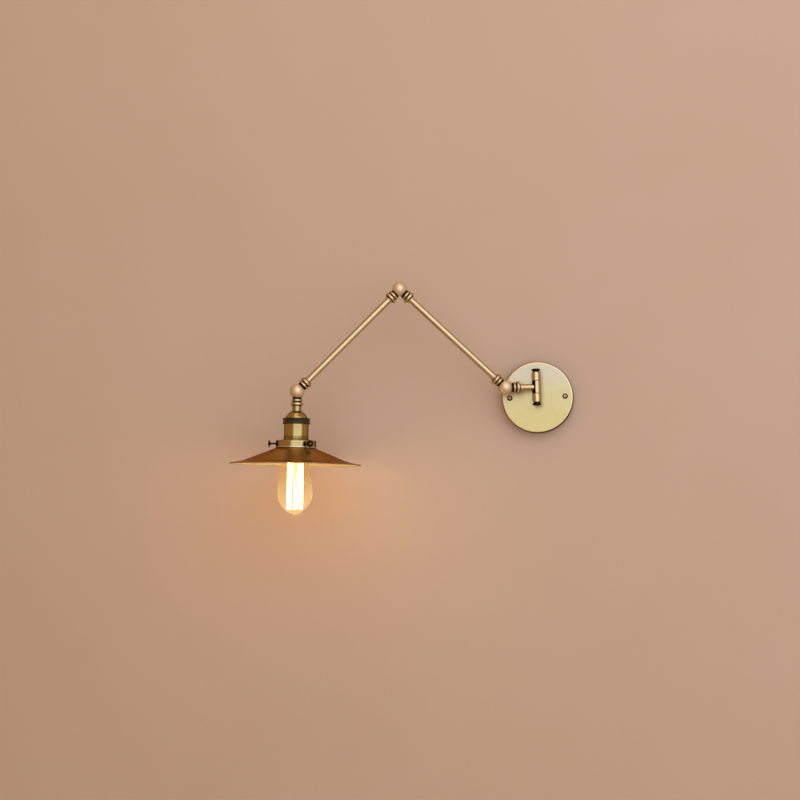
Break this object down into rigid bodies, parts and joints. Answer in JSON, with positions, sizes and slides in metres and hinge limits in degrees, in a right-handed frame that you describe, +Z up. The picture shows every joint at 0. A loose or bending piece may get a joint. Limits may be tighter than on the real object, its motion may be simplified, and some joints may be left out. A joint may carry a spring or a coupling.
{
  "type": "swing arm wall lamp",
  "caption": "Swing arm wall lamp: a round wall plate with a pivoting stem, jointed arms on ball knuckles and a shallow cone shade round a filament bulb.",
  "frame": {"origin": "middle of the wall plate's back, on the wall", "axes": "+Z up, +Y into the wall, the lamp stands out along -Y"},
  "size_m": [0.5739, 0.2597, 0.3941],
  "materials": {
    "aged_brass": "antique brass, satin, lathe brushed, dark patina in the grooves",
    "pale_brass": "pale satin brass with fine turning marks",
    "bronze": "dark bronzed brass, satin",
    "dark_plastic": "dark moulded phenolic plastic",
    "steel": "zinc plated steel",
    "ceramic": "glazed white ceramic",
    "fibre": "brown friction fibre",
    "wire_jacket": "cream wire insulation",
    "bulb_brass": "bright lamp cap brass",
    "black_glass": "black glass button of a lamp cap",
    "clear_glass": "clear glass with a faint amber tint",
    "filament_wire": "glowing filament wire",
    "support_wire": "dark molybdenum wire"
  },
  "bodies": {
    "wall_bracket": {"wall_plate": "pale_brass", "mounting_bar": "steel", "plate_screws": "bronze", "earth_screw": "aged_brass", "terminal_block": "ceramic", "block_screw": "steel", "upper_eye": "aged_brass", "lower_eye": "aged_brass", "stud_nuts": "steel", "pivot_pin": "steel", "top_pin_cap": "bronze", "bottom_pin_cap": "bronze"},
    "swivel": {"tee": "aged_brass", "thrust_washers": "fibre", "stem_tube": "aged_brass", "stem_wires": "wire_jacket", "base_rear_half": "aged_brass"},
    "lower_arm": {"base_front_half": "aged_brass", "base_hinge_screw": "steel", "base_spring_washer": "steel", "base_friction_disc": "fibre", "lower_arm_tube": "aged_brass", "lower_arm_wires": "wire_jacket", "elbow_rear_half": "aged_brass"},
    "upper_arm": {"elbow_front_half": "aged_brass", "elbow_hinge_screw": "steel", "elbow_spring_washer": "steel", "elbow_friction_disc": "fibre", "upper_arm_tube": "aged_brass", "upper_arm_wires": "wire_jacket", "head_rear_half": "aged_brass"},
    "lamp_head": {"head_front_half": "aged_brass", "head_hinge_screw": "steel", "head_spring_washer": "steel", "head_friction_disc": "fibre", "nipple": "steel", "nipple_nut": "steel", "domed_cap": "aged_brass", "lock_ring": "dark_plastic", "holder_shell": "aged_brass", "holder_skirt": "aged_brass", "insulator": "ceramic", "screw_contact": "aged_brass", "centre_contact": "aged_brass", "gallery": "aged_brass", "clamp_ring": "aged_brass", "shade": "aged_brass"},
    "outer_screw": {"outer_thumbscrew": "bronze"},
    "front_screw": {"front_thumbscrew": "bronze"},
    "back_screw": {"back_thumbscrew": "bronze"},
    "bulb": {"bulb_cap": "bulb_brass", "bulb_insulator": "black_glass", "bulb_contact": "bulb_brass", "bulb_glass": "clear_glass", "bulb_stem": "clear_glass", "filament_supports": "support_wire", "filament": "filament_wire"}
  },
  "joints": [
    {"name": "arm_swing", "type": "hinge", "parent": "wall_bracket", "child": "swivel", "pos_m": [0, -0.042, 0.016], "axis": [0, 0, 1], "range_deg": [-15, 165]},
    {"name": "base_knuckle", "type": "hinge", "parent": "swivel", "child": "lower_arm", "pos_m": [-0.05216, -0.05598, 0.016], "axis": [-0.2588, 0.9659, 0], "range_deg": [-134, 46]},
    {"name": "elbow_knuckle", "type": "hinge", "parent": "lower_arm", "child": "upper_arm", "pos_m": [-0.22448, -0.10215, 0.18827], "axis": [0.2588, -0.9659, 0], "range_deg": [-196, 20]},
    {"name": "head_knuckle", "type": "hinge", "parent": "upper_arm", "child": "lamp_head", "pos_m": [-0.3968, -0.14832, 0.016], "axis": [0.2588, -0.9659, 0], "range_deg": [-151, 64]},
    {"name": "outer_thumbscrew_out", "type": "slide", "parent": "lamp_head", "child": "outer_screw", "axis": [-0.965, -0.2586, 0.0436], "range_m": [0, 0.004]},
    {"name": "front_thumbscrew_out", "type": "slide", "parent": "lamp_head", "child": "front_screw", "axis": [0.7066, -0.7072, -0.0218], "range_m": [0, 0.004]},
    {"name": "back_thumbscrew_out", "type": "slide", "parent": "lamp_head", "child": "back_screw", "axis": [0.2584, 0.9658, -0.0218], "range_m": [0, 0.004]},
    {"name": "bulb_out", "type": "slide", "parent": "lamp_head", "child": "bulb", "axis": [-0.0421, -0.0113, -0.999], "range_m": [0, 0.03]}
  ]
}
